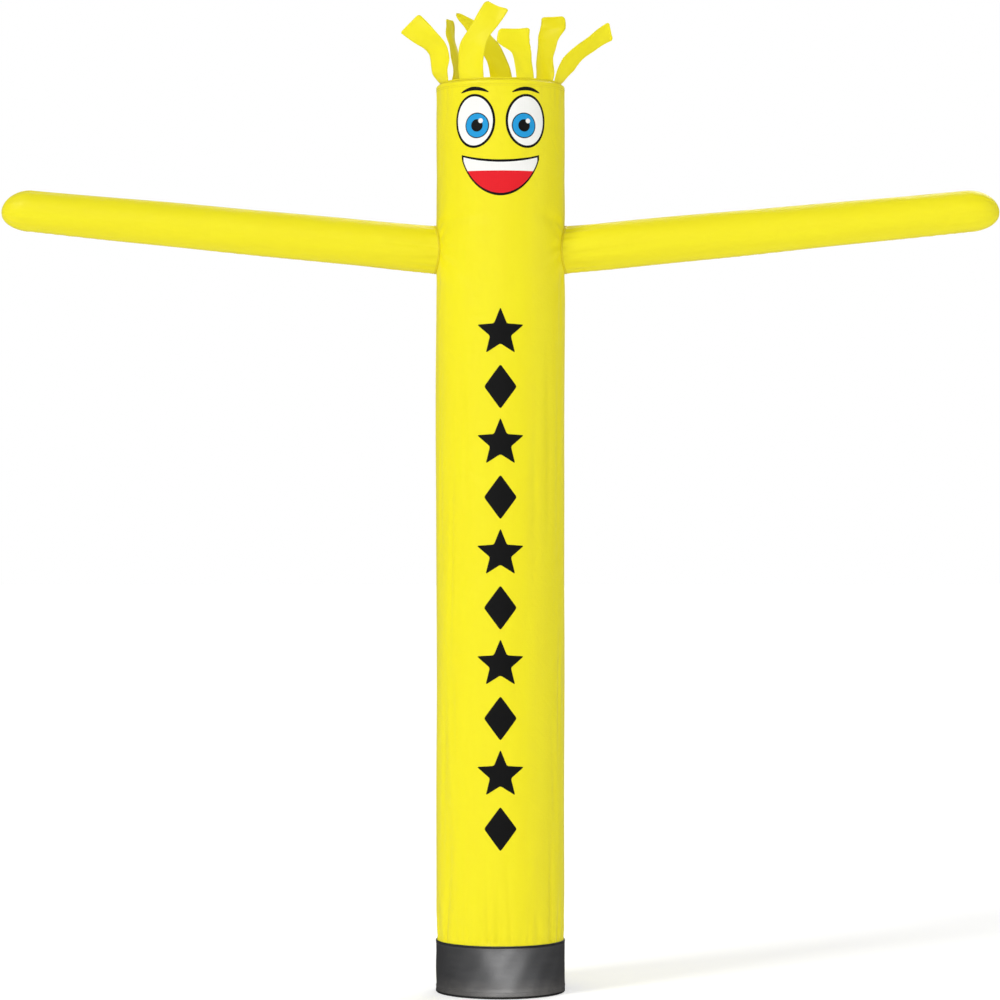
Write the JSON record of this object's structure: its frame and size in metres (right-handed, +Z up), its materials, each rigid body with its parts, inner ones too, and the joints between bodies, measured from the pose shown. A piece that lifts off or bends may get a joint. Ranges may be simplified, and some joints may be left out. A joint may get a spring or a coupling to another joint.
{
  "type": "inflatable air dancer",
  "caption": "Inflated cloth tube figure with a printed face, streamers for hair, raised arms and a heavy cuff that a blower feeds.",
  "frame": {"origin": "middle of the cuff's lower edge, on the surface that it stands on", "axes": "+Z up along the tube, the face looks along -Y, the arms reach along X"},
  "size_m": [3.534, 0.458, 3.4885],
  "materials": {
    "yellow_cloth": "yellow ripstop cloth with a faint sheen",
    "coated_cuff": "black coated cloth, half gloss"
  },
  "bodies": {
    "root": {"cuff": "coated_cuff", "body_tube": "yellow_cloth", "arm_left_root": "yellow_cloth", "arm_left_middle": "yellow_cloth", "arm_left_end": "yellow_cloth", "arm_right_root": "yellow_cloth", "arm_right_middle": "yellow_cloth", "arm_right_end": "yellow_cloth", "crown": "yellow_cloth", "hair": "yellow_cloth"}
  },
  "joints": []
}
